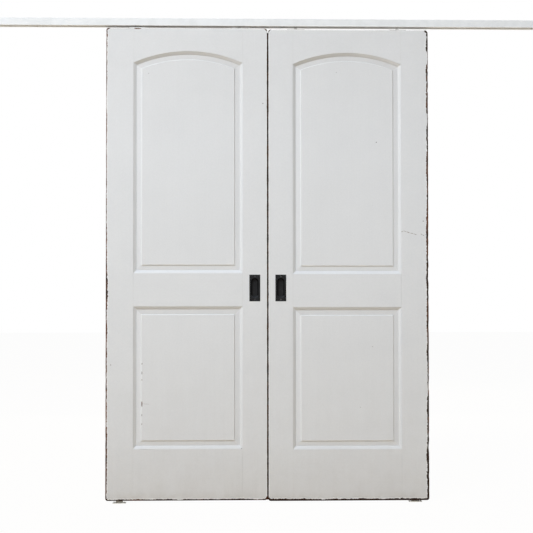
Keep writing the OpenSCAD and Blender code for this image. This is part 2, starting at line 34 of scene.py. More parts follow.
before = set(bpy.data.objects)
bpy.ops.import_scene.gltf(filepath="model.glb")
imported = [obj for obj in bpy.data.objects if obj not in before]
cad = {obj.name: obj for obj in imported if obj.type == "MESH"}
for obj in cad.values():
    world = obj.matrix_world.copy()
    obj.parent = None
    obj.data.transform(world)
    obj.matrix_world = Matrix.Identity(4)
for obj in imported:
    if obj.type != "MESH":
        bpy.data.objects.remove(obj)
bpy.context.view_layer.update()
scene = bpy.context.scene

SIDES = ("left", "right")
OUTER_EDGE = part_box("right_outer_stile")[1].x
MEETING_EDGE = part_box("right_meeting_stile")[0].x
OUTER_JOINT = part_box("right_top_rail")[1].x
MEETING_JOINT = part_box("right_top_rail")[0].x
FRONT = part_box("left_outer_stile")[0].y
LEAF_BOTTOM = {side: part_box(side + "_outer_stile")[0].z for side in SIDES}
LEAF_TOP = {side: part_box(side + "_outer_stile")[1].z for side in SIDES}
ON_PLANE = 0.0001       # a point that is nearer to a plane than this lies on it
ONE_POINT = 0.00001     # points nearer than this are one
ONE_FACE = math.radians(0.3)

# Paint gone along a leaf's edges: how far in, and how much more at its corners
BOTTOM_WEAR = {"left": 0.0062, "right": 0.0087}
MEETING_WEAR = 0.0015
TOP_WEAR = 0.0006
CORNER = 0.012          # the worn line turns a leaf's corner at this radius
WEAR_END = 1.6 * CORNER
CORNER_KNOCK = 70.0
MEETING_KNOCK = 60.0    # added at the corners where the leaves meet
RAGGED, CRUMBLED = 1.7, 1.3
BARE_RIM = (-0.0008, 0.0006)
# painted highlight along the ridge of paint left: where it rises and where it fades
RIDGE_HIGHLIGHT_BAND = ((0.0004, 0.0014), (0.0022, 0.0048))
RIM_DIRT, RIM_PATCHES = 0.011, (0.35, 0.75)
FOOT_DIRT, FOOT_PATCHES = 0.05, (0.25, 0.7)

# Soiling by height above a leaf's foot, with painted shade that darkens it near the floor and
# towards the top
SCUFF_TOP = 1.15
SCUFF_POWER = 1.6
SCUFF_PATCHES, SCUFF_STREAKS = (0.9, 0.9), (0.95, 0.7)  # middle strength, and how much it varies
FOOT_SOILING_AND_SHADE_TOP, FOOT_SOILING_AND_SHADE = 0.24, 0.52
# painted shade: the paint darker towards the top of a leaf
TOP_SHADE_LOW, TOP_SHADE_HIGH, TOP_SHADE = 1.45, 2.0, 0.42
SPECK_GRIME, SPECK_RIM = 0.35, (0.71, 0.78)

# Dust and painted shade, and painted light on steep steps, by slope: where each one begins and ends
# as a surface turns up or forward
DUST_AND_SHADE_SLOPES = ((0.04, 0.10), (0.25, 0.40))
UNDERSIDES = ((-0.85, -0.75), (-0.45, -0.25))
STEEP_STEPS = ((0.30, 0.36), (0.46, 0.52))
LESS_LIGHTENED = (-0.7, -0.2, 1.0, 0.5)    # steps that don't face down get half as much painted light
# dust, and painted shade on gentle slopes that face up
DUST_AND_SHADE_ON_SLOPES = 0.21
# painted shade on faces that turn down
PAINTED_SHADE_UNDERNEATH = 0.07

# Chips and scratches: how far their outlines wander, how deep they reach, how soft they end
MARK_WAVER = 0.003
MARK_DEPTH = 0.012
MARK_RIM = (0.6, 1.05)

# Single marks: (x, z, half length, half width, turn in degrees, strength).
# Chips, dashes and the scratch on the left leaf; the crack across the right leaf's outer stile.
PAINT_LOSSES = {
    "left": [
        (-0.0208, 1.7191, 0.0026, 0.0026, 0, 0.8), (-0.5133, 1.8479, 0.0022, 0.0022, 0, 0.5),
        (-0.6733, 0.5927, 0.0025, 0.0025, 0, 0.7),
        (-0.5403, 0.5970, 0.0020, 0.0040, 0, 0.75), (-0.5403, 0.5582, 0.0022, 0.0085, 0, 0.8),
        (-0.5403, 0.5281, 0.0020, 0.0040, 0, 0.7), (-0.5403, 0.4247, 0.0034, 0.0140, 0, 1.0),
        (-0.5215, 0.4248, 0.0180, 0.0011, 6, 0.34), (-0.5403, 0.3773, 0.0020, 0.0060, 0, 0.6),
        (-0.5403, 0.3386, 0.0020, 0.0050, 0, 0.6),
        (-0.5600, 2.0428, 0.0190, 0.0046, 0, 1.0), (-0.5960, 2.0440, 0.0120, 0.0026, 0, 0.55),
        (-0.0930, 2.0440, 0.0130, 0.0016, 0, 0.45),
        (-0.1133, 0.2336, 0.0028, 0.0022, 0, 0.60), (-0.5197, 0.2312, 0.0420, 0.0013, 0, 0.22),
    ],
    "right": [
        (0.5823, 1.1659, 0.0065, 0.0011, -22, 0.8), (0.5931, 1.1666, 0.0065, 0.0011, 15, 0.85),
        (0.6070, 1.1624, 0.0095, 0.0012, 19, 0.9), (0.6233, 1.1577, 0.0090, 0.0011, 14, 0.85),
        (0.6380, 1.1537, 0.0075, 0.0011, 17, 0.8), (0.6650, 1.1535, 0.0050, 0.0011, 28, 0.8),
        (0.6730, 1.1497, 0.0050, 0.0012, 27, 0.85), (0.6895, 1.1256, 0.0045, 0.0085, 0, 1.0),
        (0.6730, 1.2105, 0.0026, 0.0026, 0, 0.7), (0.2974, 1.8556, 0.0020, 0.0020, 0, 0.5),
        (0.4706, 1.5525, 0.0030, 0.0026, 0, 0.75), (0.3993, 0.4079, 0.0022, 0.0022, 0, 0.5),
        (0.4522, 0.6686, 0.0022, 0.0022, 0, 0.5),
    ],
}

# The outer edge from floor to top: (height, millimetres of paint gone, soot on the wood)
HISTORY_TOP = 2.1
HISTORY_WIDEST = 10.0   # millimetres
SOOT_SHIFT = 0.1
EDGE_HISTORY = {
    "left": [
        (0.000, 6.3, 0.20), (0.040, 6.3, 0.10), (0.110, 6.3, 0.00), (0.270, 7.6, 0.02),
        (0.370, 6.6, -0.02), (0.440, 6.2, -0.04), (0.610, 5.8, -0.04), (0.777, 6.2, -0.02),
        (0.860, 6.8, 0.03), (0.890, 7.8, 0.08), (0.970, 7.8, 0.08), (1.010, 6.0, 0.00),
        (1.110, 4.7, -0.04), (1.280, 4.2, -0.04), (1.450, 3.7, -0.04), (1.580, 3.0, -0.04),
        (1.600, 4.7, -0.04), (1.665, 4.7, -0.04), (1.690, 2.7, -0.04), (1.790, 2.7, -0.04),
        (1.810, 4.6, -0.04), (1.890, 4.6, -0.04), (1.920, 3.6, -0.04), (1.970, 5.2, -0.02),
        (2.060, 6.0, 0.00),
    ],
    "right": [
        (0.000, 9.8, 0.34), (0.280, 10.0, 0.36), (0.300, 9.2, 0.10), (0.385, 9.0, 0.06),
        (0.395, 9.0, 0.20), (0.455, 9.0, 0.20), (0.465, 5.8, 0.05), (0.590, 5.8, 0.05),
        (0.610, 8.2, 0.18), (0.700, 8.6, 0.18), (0.730, 9.8, 0.06), (0.860, 9.8, 0.06),
        (0.880, 10.0, 0.30), (0.960, 10.0, 0.30), (0.980, 10.0, 0.08), (1.160, 10.0, 0.04),
        (1.280, 8.2, 0.04), (1.450, 8.2, 0.06), (1.570, 8.0, 0.08), (1.585, 8.4, 0.36),
        (1.622, 8.4, 0.36), (1.630, 3.4, 0.06), (1.673, 3.4, 0.06), (1.682, 8.4, 0.02),
        (1.885, 8.4, 0.02), (1.894, 3.4, 0.08), (1.945, 3.4, 0.08), (1.955, 9.2, 0.36),
        (2.070, 9.2, 0.36),
    ],
}

# Paint and wood
UPRIGHT = (160.0, 160.0, 2.6)   # streaks along a stile or panel
LEVEL = (2.6, 160.0, 160.0)     # streaks along a rail
RUNS = (38.0, 38.0, 5.0)        # dirt that has run down
WHITE_PAINT = (0.731, 0.735, 0.746, 1)
# painted highlight: lighter than the paint, for ridges of worn paint and for steep moulding steps
PAINTED_HIGHLIGHT = (0.90, 0.90, 0.90, 1)
# soiling, and the tint of painted shade on slopes, undersides, near the floor and towards the top
DUST_AND_SHADE_TINT = (0.36, 0.31, 0.25, 1)
WOOD_DARK = (0.072, 0.027, 0.014, 1)
WOOD_LIGHT = (0.190, 0.084, 0.048, 1)
SOOT_BLACK = (0.027, 0.012, 0.007, 1)
GRAIN_BAND, SOOT_BAND = (0.35, 0.7), (0.45, 0.68)
BEECH = (0.52, 0.36, 0.21, 1)
PAINT_ROUGH = 0.40
PAINT_SHINE = 0.25
PAINT_STEP = -1.6               # bare wood lies this far below the brush marks' height
BRUSH_ROUGH, BARE_ROUGH, DIRT_ROUGH = 0.12, 0.3, 0.15
SEAM = (0.0004, 0.0022)

# Flush pulls: the finger recess, then the width and steps of its rolled lip and rounded floor
CUP_DEPTH = 0.012
CUP_HALF_WIDTH = 0.0154
CUP_HALF_HEIGHT = 0.0425
CUP_WALL_HALF_HEIGHT = 0.0420
CUP_LIP = (0.0018, 3)
CUP_FLOOR = (0.0055, 4)
BELOW_MOUTH = 0.0003
FLAT_FACING = 0.90
# recess faces that turn up less than this get the painted shade, the others the painted highlight
UP_FACING = 0.30
SMOOTH_ANGLE = math.radians(40.0)

# Cheeks at the foot of the meeting bead
CHEEK_THICK = 0.0017
CHEEK_FOOT = 0.004
CHEEK_NOSE = (0.0012, 3)

# Chipped arrises of the outer stiles. Each kind of chip has the noise's scale across, its place for
# a leaf and its scale along, the part of the noise that leaves no chip, and its strength.
ARRIS = 0.0055
ARRIS_CUT = 1.4 * ARRIS
CHIP_CUTS = 200
CHIP_DEPTH = {"left": 0.0012, "right": 0.0026}
CHIPS = [((40.0, 7.0, 31.0), 0.08, 1.0), ((90.0, 3.0, 118.0), 0.12, 1.2)]

# Floor, light and camera
FLOOR_SIZE = 30.0
FLOOR_DROP = 0.0005
FLOOR_COLOUR = (0.72, 0.58, 0.40, 1)
FLOOR_ROUGH = 0.9
FLOOR_WHITE = 0.97
SKY_LIGHT = (0.165, 0.180, 0.195, 1)
SKY_SEEN = (1, 1, 1, 1)
LAMPS = [  # name, place, aim, size, watts, colour
    ("key from upper left",
     (-3.6, -6.0, 7.8), (0.0, 0.0, 1.1), (4.0, 3.0), 802.0, (0.872, 0.932, 1.0)),
    ("low fill from the front",
     (1.2, -7.0, 0.4), (0.0, 0.0, 1.6), (4.0, 0.6), 40.0, (0.94, 0.96, 1.0)),
    ("side light from the left",
     (-6.0, -2.0, 2.2), (0.0, 0.0, 1.2), (1.5, 3.0), 34.0, (0.96, 0.97, 1.0)),
    ("light behind",
     (1.5, 4.5, 3.0), (0.0, 0.0, 1.0), (4.0, 3.0), 84.0, (1.0, 1.0, 1.0)),
    ("light under the track",
     (0.0, 3.2, 0.7), (0.0, 0.0, 2.0), (4.0, 0.8), 30.0, (1.0, 1.0, 1.0)),
]
CAMERA_PLACE = (-0.1031, -4.2, 0.9354)
CAMERA_TURN = (91.0815, 0.0328, -1.335)
CAMERA_LENS = 65.62
CAMERA_SENSOR = 36.0
CAMERA_REACH = 100.0


# Shader node helpers

VECTOR = "NodeSocketVector"
FLOAT = "NodeSocketFloat"
COLOUR = "NodeSocketColor"


def add(tree, kind, **settings):
    """A new node with its properties set."""
    made = tree.nodes.new(kind)
    for key, value in settings.items():
        setattr(made, key, value)
    return made


def wire(tree, source, target):
    """Links an output to an input, or sets the input to a number, colour or vector."""
    if hasattr(source, "is_output"):
        tree.links.new(source, target)
    else:
        target.default_value = source


def fill(tree, node, **values):
    """Wires or sets a node's inputs by name, with _ for a space, and gives its outputs."""
    for label, value in values.items():
        wire(tree, value, node.inputs[label.replace("_", " ")])
    return node.outputs


def fill_in_order(tree, node, *values):
    """Wires or sets a node's first inputs, and gives its outputs."""
    for value, socket in zip(values, node.inputs):
        wire(tree, value, socket)
    return node.outputs


def math_node(tree, operation, *values, clamp=False):
    made = add(tree, "ShaderNodeMath", operation=operation, use_clamp=clamp)
    return fill_in_order(tree, made, *values)[0]


def vector_math(tree, operation, *values):
    made = add(tree, "ShaderNodeVectorMath", operation=operation)
    return fill_in_order(tree, made, *values)


def times(tree, first, second):
    return math_node(tree, "MULTIPLY", first, second)


def minus(tree, first, second):
    return math_node(tree, "SUBTRACT", first, second)


def size_of(tree, value):
    return math_node(tree, "ABSOLUTE", value)


def most(tree, *values):
    return reduce(lambda first, second: math_node(tree, "MAXIMUM", first, second), values)


def least(tree, *values):
    return reduce(lambda first, second: math_node(tree, "MINIMUM", first, second), values)


def plus(tree, base, pattern, share, clamp=False):
    """base with a share of a pattern added to it."""
    return math_node(tree, "MULTIPLY_ADD", pattern, share, base, clamp=clamp)


def vary(tree, base, pattern, amount):
    """base made uneven by noise, by up to half of amount either way."""
    return plus(tree, math_node(tree, "ADD", base, -amount / 2), pattern, amount)


def ramp(tree, value, low, high, out_low=0.0, out_high=1.0, smooth=True):
    """Maps value from low..high to out_low..out_high and holds it at the ends."""
    kind = "SMOOTHSTEP" if smooth else "LINEAR"
    made = add(tree, "ShaderNodeMapRange", interpolation_type=kind)
    return fill_in_order(tree, made, value, low, high, out_low, out_high)[0]


def fade(tree, value, low, high, start=1.0, smooth=True):
    """start up to low, and nothing past high."""
    return ramp(tree, value, low, high, start, 0.0, smooth)


def between(tree, value, rise, fall):
    """1 between two soft limits, and nothing outside them."""
    return times(tree, ramp(tree, value, *rise), fade(tree, value, *fall))


def mix_colour(tree, amount, first, second, blend="MIX"):
    made = add(tree, "ShaderNodeMix", data_type="RGBA", blend_type=blend)
    return fill(tree, made, Factor=amount, A=first, B=second)["Result"]


def axes(tree, vector):
    """The X, Y and Z of a vector."""
    return fill(tree, add(tree, "ShaderNodeSeparateXYZ"), Vector=vector)


def stretched(tree, vector, scale):
    return fill(tree, add(tree, "ShaderNodeMapping"), Vector=vector, Scale=scale)["Vector"]


def cloud(tree, vector, scale, detail, rough):
    """Noise from 0 to 1."""
    made = add(tree, "ShaderNodeTexNoise")
    return fill(tree, made, Vector=vector, Scale=scale, Detail=detail, Roughness=rough)["Fac"]


def bump(tree, height, strength, distance):
    made = add(tree, "ShaderNodeBump")
    return fill(tree, made, Height=height, Strength=strength, Distance=distance)["Normal"]


def new_group(name, inputs, outputs):
    """A shader node group; a socket is its name, its kind and, for some, what it starts at."""
    tree = bpy.data.node_groups.new(name, "ShaderNodeTree")
    for direction, sockets in (("INPUT", inputs), ("OUTPUT", outputs)):
        for label, kind, *start in sockets:
            socket = tree.interface.new_socket(label, in_out=direction, socket_type=kind)
            if start:
                socket.default_value = start[0]
    return tree, add(tree, "NodeGroupInput").outputs, add(tree, "NodeGroupOutput")


def use_group(tree, group, **values):
    return fill(tree, add(tree, "ShaderNodeGroup", node_tree=group), **values)


# Effects that several finishes share

def brush_marks():
    """Paint laid on by brush: streaks along the wood, a soft mottle and fine specks over them."""
    tree, given, out = new_group(
        "brush marks",
        [("Vector", VECTOR), ("Streaks", VECTOR, (1, 1, 1))],
        [("Tone", FLOAT), ("Height", FLOAT)])
    place = given["Vector"]
    along = stretched(tree, place, given["Streaks"])
    coarse = cloud(tree, along, scale=1.0, detail=4.0, rough=0.6)
    mottle = cloud(tree, place, scale=7.0, detail=4.0, rough=0.6)
    patches = cloud(tree, place, scale=2.3, detail=2.0, rough=0.5)
    specks = cloud(tree, place, scale=150.0, detail=2.0, rough=0.6)
    fine = cloud(tree, place, scale=420.0, detail=2.0, rough=0.5)
    tone = 1.0
    for pattern, amount in ((coarse, 0.030), (specks, 0.07), (mottle, 0.05), (patches, 0.05)):
        tone = vary(tree, tone, pattern, amount)
    fill(tree, out, Tone=tone, Height=plus(tree, times(tree, coarse, 0.65), fine, 0.3))
    return tree


def old_wood():
    """Bare softwood gone dark with age and handling."""
    tree, given, out = new_group(
        "old wood",
        [("Vector", VECTOR), ("Streaks", VECTOR, (1, 1, 1)), ("Soot", FLOAT, 0.0)],
        [("Color", COLOUR), ("Height", FLOAT)])
    along = stretched(tree, given["Vector"], given["Streaks"])
    grain = cloud(tree, along, scale=1.6, detail=5.0, rough=0.65)
    stain = cloud(tree, given["Vector"], scale=28.0, detail=4.0, rough=0.6)
    colour = mix_colour(tree, ramp(tree, grain, *GRAIN_BAND), WOOD_DARK, WOOD_LIGHT)
    soot = ramp(tree, math_node(tree, "ADD", stain, given["Soot"]), *SOOT_BAND)
    fill(tree, out, Color=mix_colour(tree, soot, colour, SOOT_BLACK), Height=grain)
    return tree


def worn_edges():
    """Where paint is gone round a leaf's outline, the soiling there, and a painted highlight along
    the ridge of paint left.
    """
    tree, given, out = new_group(
        "worn edges",
        [("Vector", VECTOR), ("Bottom", FLOAT, 0.0), ("Top", FLOAT, 2.0),
         ("Outer Wear", FLOAT, 0.004), ("Bottom Wear", FLOAT, 0.004)],
        [("Bare", FLOAT), ("Dirt", FLOAT), ("Ridge", FLOAT)])
    place = axes(tree, given["Vector"])
    across = size_of(tree, place["X"])
    to_outer = minus(tree, OUTER_EDGE, across)
    to_meeting = minus(tree, across, MEETING_EDGE)
    to_bottom = minus(tree, place["Z"], given["Bottom"])
    to_top = minus(tree, given["Top"], place["Z"])

    def past_corner(*distances):
        return most(tree, minus(tree, CORNER, least(tree, *distances)), 0.0)

    sideways = past_corner(to_outer, to_meeting)
    endways = past_corner(to_bottom, to_top)
    squares = plus(tree, times(tree, endways, endways), sideways, sideways)
    inside = minus(tree, CORNER, math_node(tree, "SQRT", squares))
    ragged = cloud(tree, given["Vector"], scale=21.0, detail=5.0, rough=0.66)
    crumbs = cloud(tree, given["Vector"], scale=150.0, detail=4.0, rough=0.6)
    reach = vary(tree, vary(tree, 1.0, ragged, RAGGED), crumbs, CRUMBLED)
    edges = ((to_outer, given["Outer Wear"]), (to_bottom, given["Bottom Wear"]),
             (to_meeting, MEETING_WEAR), (to_top, TOP_WEAR))
    wear = most(tree, *(fade(tree, away, CORNER, WEAR_END, depth) for away, depth in edges))
    meeting = times(tree, past_corner(to_meeting), MEETING_KNOCK)
    knocked = times(tree, plus(tree, meeting, sideways, CORNER_KNOCK), endways)
    limit = times(tree, reach, math_node(tree, "ADD", wear, knocked))
    past = minus(tree, inside, limit)
    foot = times(tree, fade(tree, to_bottom, 0.0, FOOT_DIRT), ramp(tree, ragged, *FOOT_PATCHES))
    rim = times(tree, fade(tree, inside, 0.0, RIM_DIRT), ramp(tree, ragged, *RIM_PATCHES))
    # the ridge band is a painted highlight, lighter paint where worn paint ends
    fill(tree, out, Bare=fade(tree, past, *BARE_RIM), Ridge=between(tree, past, *RIDGE_HIGHLIGHT_BAND),
         Dirt=most(tree, rim, foot))
    return tree


def height_soiling_and_shade():
    """Scuffs and soiling that get heavier towards the floor, with painted shade there too, and
    painted shade that darkens the top of a leaf.
    """
    tree, given, out = new_group(
        "height_soiling_and_shade", [("Vector", VECTOR), ("Bottom", FLOAT, 0.0)], [("Mask", FLOAT)])
    place = given["Vector"]
    height = minus(tree, axes(tree, place)["Z"], given["Bottom"])
    low = fade(tree, height, 0.0, SCUFF_TOP, smooth=False)
    low = math_node(tree, "POWER", low, SCUFF_POWER)
    upright = stretched(tree, place, RUNS)
    streaks = cloud(tree, upright, scale=1.0, detail=5.0, rough=0.65)
    scuffs = cloud(tree, place, scale=16.0, detail=5.0, rough=0.7)
    specks = cloud(tree, place, scale=120.0, detail=2.0, rough=0.5)
    for pattern, (middle, amount) in ((scuffs, SCUFF_PATCHES), (streaks, SCUFF_STREAKS)):
        low = times(tree, low, vary(tree, middle, pattern, amount))
    # soiling and painted shade: darker near the floor
    foot = fade(tree, height, 0.0, FOOT_SOILING_AND_SHADE_TOP, FOOT_SOILING_AND_SHADE, smooth=False)
    # painted shade: darker towards the top of a leaf
    top_shade = ramp(tree, height, TOP_SHADE_LOW, TOP_SHADE_HIGH, 0.0, TOP_SHADE)
    fill(tree, out, Mask=most(tree,
                              math_node(tree, "ADD", low, foot),
                              times(tree, top_shade, vary(tree, 1.0, scuffs, 1.0)),
                              times(tree, ramp(tree, specks, *SPECK_RIM), SPECK_GRIME)))
    return tree


def slope_dust_and_shade():
    """Dust and painted shade on gentle slopes that face up, painted shade on faces that turn down,
    painted light on steep steps.
    """
    tree, given, out = new_group(
        "slope dust and shade", [("Normal", VECTOR)], [("Mask", FLOAT), ("Clean", FLOAT)])
    facing = axes(tree, given["Normal"])
    upward = facing["Z"]
    # dust, and painted shade that darkens bevels facing up
    slopes = between(tree, upward, *DUST_AND_SHADE_SLOPES)
    # painted shade, warm, on faces that turn down
    under = times(tree, between(tree, upward, *UNDERSIDES), PAINTED_SHADE_UNDERNEATH)
    # painted light: steep steps shown lighter, most where they face down
    steep = between(tree, size_of(tree, facing["Y"]), *STEEP_STEPS)
    fill(tree, out, Mask=plus(tree, under, slopes, DUST_AND_SHADE_ON_SLOPES),
         Clean=times(tree, steep, ramp(tree, upward, *LESS_LIGHTENED)))
    return tree


def edge_history(name, stops):
    """How far in paint is gone at a leaf's outer edge, and how sooty its wood is, by height."""
    tree, given, out = new_group(name, [("Vector", VECTOR)], [("Wear", FLOAT), ("Soot", FLOAT)])
    height = axes(tree, given["Vector"])["Z"]
    band = add(tree, "ShaderNodeValToRGB")
    elements = band.color_ramp.elements
    elements.remove(elements[1])
    for place, (level, millimetres, soot) in enumerate(stops):
        stop = elements.new(level / HISTORY_TOP) if place else elements[0]
        stop.position = level / HISTORY_TOP
        stop.color = (millimetres / HISTORY_WIDEST, soot + SOOT_SHIFT, 0.0, 1.0)
    shades = fill(tree, band, Fac=math_node(tree, "DIVIDE", height, HISTORY_TOP))["Color"]
    channels = fill(tree, add(tree, "ShaderNodeSeparateColor"), Color=shades)
    fill(tree, out, Wear=times(tree, channels["Red"], HISTORY_WIDEST / 1000),
         Soot=minus(tree, channels["Green"], SOOT_SHIFT))
    return tree


def paint_losses(name, marks):
    """Single chips, scratches and cracks in a leaf's paint."""
    tree, given, out = new_group(name, [("Vector", VECTOR)], [("Mask", FLOAT)])
    waver = fill(tree, add(tree, "ShaderNodeTexNoise"), Vector=given["Vector"], Scale=240.0)
    shift = vector_math(tree, "MULTIPLY_ADD", waver["Color"], (MARK_WAVER, 0.0, MARK_WAVER),
                        (-MARK_WAVER / 2, 0.0, -MARK_WAVER / 2))
    bent = vector_math(tree, "ADD", given["Vector"], shift["Vector"])["Vector"]
    masks = []
    for x, z, half_length, half_width, turn, strength in marks:
        place = fill(tree, add(tree, "ShaderNodeMapping", vector_type="TEXTURE"), Vector=bent,
                     Location=(x, FRONT, z), Rotation=(0.0, math.radians(turn), 0.0),
                     Scale=(half_length, MARK_DEPTH, half_width))
        away = vector_math(tree, "LENGTH", place["Vector"])["Value"]
        masks.append(fade(tree, away, *MARK_RIM, strength))
    fill(tree, out, Mask=most(tree, *masks))
    return tree


BRUSH = brush_marks()
WOOD = old_wood()
EDGES = worn_edges()
HEIGHT_SOILING_AND_SHADE = height_soiling_and_shade()
SLOPE_DUST_AND_SHADE = slope_dust_and_shade()
LOSSES = {side: paint_losses(side + " paint losses", PAINT_LOSSES[side]) for side in SIDES}
HISTORY = {side: edge_history(side + " edge history", EDGE_HISTORY[side]) for side in SIDES}


# Finishes

def new_material(name):
    material = bpy.data.materials.new(name)
    material.use_nodes = True
    tree = material.node_tree
    return material, tree, tree.nodes["Principled BSDF"]


def own_place(tree):
    return add(tree, "ShaderNodeTexCoord").outputs["Object"]


def joint_line(tree, place):
    """The faint line at both ends of a rail."""
    across = size_of(tree, axes(tree, place)["X"])
    ends = [size_of(tree, minus(tree, across, joint)) for joint in (OUTER_JOINT, MEETING_JOINT)]
    return fade(tree, least(tree, *ends), *SEAM)


def painted_wood(side, streaks, name, seams=False):
    """Old white paint on one leaf, worn through along its edges."""
    material, tree, surface = new_material(f"{side} {name}")
    place = own_place(tree)
    brush = use_group(tree, BRUSH, Vector=place, Streaks=streaks)
    history = use_group(tree, HISTORY[side], Vector=place)
    wood = use_group(tree, WOOD, Vector=place, Streaks=streaks, Soot=history["Soot"])
    edges = use_group(tree, EDGES, Vector=place, Bottom=LEAF_BOTTOM[side], Top=LEAF_TOP[side],
                      Outer_Wear=history["Wear"], Bottom_Wear=BOTTOM_WEAR[side])
    soiling_and_shade = use_group(tree, HEIGHT_SOILING_AND_SHADE, Vector=place, Bottom=LEAF_BOTTOM[side])
    losses = use_group(tree, LOSSES[side], Vector=place)
    normal = add(tree, "ShaderNodeNewGeometry").outputs["True Normal"]
    by_slope = use_group(tree, SLOPE_DUST_AND_SHADE, Normal=normal)
    tone = fill_in_order(tree, add(tree, "ShaderNodeCombineColor"), *[brush["Tone"]] * 3)[0]
    colour = mix_colour(tree, 1.0, WHITE_PAINT, tone, "MULTIPLY")
    layers = [  # where, how strongly, which colour
        # soiling by height, with painted shade near the floor and towards the top
        (soiling_and_shade["Mask"], 0.20, DUST_AND_SHADE_TINT),
        # dust and painted shade by slope
        (by_slope["Mask"], 1.0, DUST_AND_SHADE_TINT),
        # painted light on steep steps
        (by_slope["Clean"], 0.90, PAINTED_HIGHLIGHT),
        (edges["Dirt"], 0.30, DUST_AND_SHADE_TINT),
        # painted highlight along the ridge of worn paint
        (edges["Ridge"], 0.55, PAINTED_HIGHLIGHT),
    ]
    if seams:
        layers.append((joint_line(tree, place), 0.05, DUST_AND_SHADE_TINT))
    for mask, share, tint in layers:
        colour = mix_colour(tree, times(tree, mask, share), colour, tint)
    bare = most(tree, edges["Bare"], losses["Mask"])
    rough = plus(tree, PAINT_ROUGH, brush["Height"], BRUSH_ROUGH)
    rough = plus(tree, rough, bare, BARE_ROUGH)
    rough = plus(tree, rough, soiling_and_shade["Mask"], DIRT_ROUGH, clamp=True)
    height = plus(tree, brush["Height"], bare, PAINT_STEP)
    fill(tree, surface, Base_Color=mix_colour(tree, bare, colour, wood["Color"]),
         Roughness=rough, Specular_IOR_Level=PAINT_SHINE,
         Normal=bump(tree, height, strength=0.35, distance=0.0006))
    return material


def bare_wood(name, streaks, rough, shine, soot=0.0, fresh=0.0):
    """Unpainted wood, from dark with handling to fresh beech."""
    material, tree, surface = new_material(name)
    wood = use_group(tree, WOOD, Vector=own_place(tree), Streaks=streaks, Soot=soot)
    fill(tree, surface, Base_Color=mix_colour(tree, fresh, wood["Color"], BEECH),
         Roughness=rough, Specular_IOR_Level=shine,
         Normal=bump(tree, wood["Height"], strength=0.3, distance=0.0003))
    return material


def black_enamel(name, dark, rubbed, low_rough, shine):
    """Thin black finish on metal, rubbed grey in places by fingers."""
    material, tree, surface = new_material(name)
    place = own_place(tree)
    scuff = cloud(tree, place, scale=90.0, detail=5.0, rough=0.65)
    pits = cloud(tree, place, scale=900.0, detail=2.0, rough=0.5)
    fill(tree, surface,
         Base_Color=mix_colour(tree, ramp(tree, scuff, 0.48, 0.75), dark, rubbed),
         Roughness=plus(tree, low_rough, scuff, 0.25), Specular_IOR_Level=shine,
         Normal=bump(tree, plus(tree, pits, scuff, 0.6), strength=0.25, distance=0.0002))
    return material


def plain_metal(name, colour, shade, rough, streaks, metallic=1.0):
    """Metal with drawn lines along one axis and a faint cloud of oxide."""
    material, tree, surface = new_material(name)
    place = own_place(tree)
    lines = cloud(tree, stretched(tree, place, streaks), scale=1.0, detail=3.0, rough=0.6)
    oxide = cloud(tree, place, scale=22.0, detail=4.0, rough=0.6)
    fill(tree, surface,
         Base_Color=mix_colour(tree, ramp(tree, oxide, 0.35, 0.75), colour, shade),
         Roughness=plus(tree, rough, lines, 0.22), Metallic=metallic,
         Normal=bump(tree, lines, strength=0.2, distance=0.0002))
    return material


def moulded(name, colour, shade, rough):
    """Moulded nylon or rubber with a fine grain."""
    material, tree, surface = new_material(name)
    place = own_place(tree)
    mottle = cloud(tree, place, scale=60.0, detail=3.0, rough=0.6)
    grain = cloud(tree, place, scale=1400.0, detail=2.0, rough=0.5)
    fill(tree, surface,
         Base_Color=mix_colour(tree, ramp(tree, mottle, 0.3, 0.75), colour, shade),
         Roughness=plus(tree, rough, grain, 0.15),
         Normal=bump(tree, grain, strength=0.2, distance=0.0001))
    return material


PULL_BLACK = black_enamel(
    "pull black", (0.020, 0.020, 0.021, 1), (0.032, 0.032, 0.033, 1), low_rough=0.42, shine=0.05)
# painted shade: a darker copy of the pull finish, for recess faces that turn down or sideways
PULL_PAINTED_SHADE = black_enamel(
    "pull painted shade", (0.003, 0.003, 0.003, 1), (0.006, 0.006, 0.006, 1), low_rough=0.60, shine=0.02)
# painted highlight: a lighter, bluer copy of the pull finish, for recess faces that turn up
PULL_PAINTED_HIGHLIGHT = black_enamel(
    "pull painted highlight", (0.024, 0.026, 0.029, 1), (0.042, 0.045, 0.050, 1), low_rough=0.34, shine=0.08)
SCREW_BLACK = black_enamel(
    "screw black", (0.03, 0.03, 0.03, 1), (0.16, 0.155, 0.15, 1), low_rough=0.30, shine=0.2)
ZINC = plain_metal(
    "zinc plate", (0.60, 0.60, 0.58, 1), (0.42, 0.41, 0.39, 1),
    rough=0.34, streaks=(60.0, 60.0, 60.0))
CASTING = plain_metal(
    "grey casting", (0.20, 0.20, 0.205, 1), (0.12, 0.12, 0.12, 1),
    rough=0.5, streaks=(90.0, 90.0, 90.0), metallic=0.6)
LACQUER = plain_metal(
    "white lacquer", (0.80, 0.81, 0.82, 1), (0.74, 0.75, 0.755, 1),
    rough=0.45, streaks=(1.5, 420.0, 420.0), metallic=0.0)
NYLON = moulded("nylon", (0.74, 0.72, 0.66, 1), (0.60, 0.57, 0.50, 1), rough=0.42)
RUBBER = moulded("rubber", (0.018, 0.018, 0.018, 1), (0.035, 0.034, 0.032, 1), rough=0.7)
DOWEL = bare_wood("dowel beech", (3.0, 200.0, 200.0), rough=0.7, shine=0.5, fresh=0.7)
BEAD = bare_wood("dark bead", UPRIGHT, rough=0.85, shine=0.1, soot=0.06)


def dress(piece, *finishes):
    """Gives a piece these finishes and no others."""
    piece.data.materials.clear()
    for finish in finishes:
        piece.data.materials.append(finish)


# Pieces that stand in for CAD nodes, with the small shapes that wear and casting leave

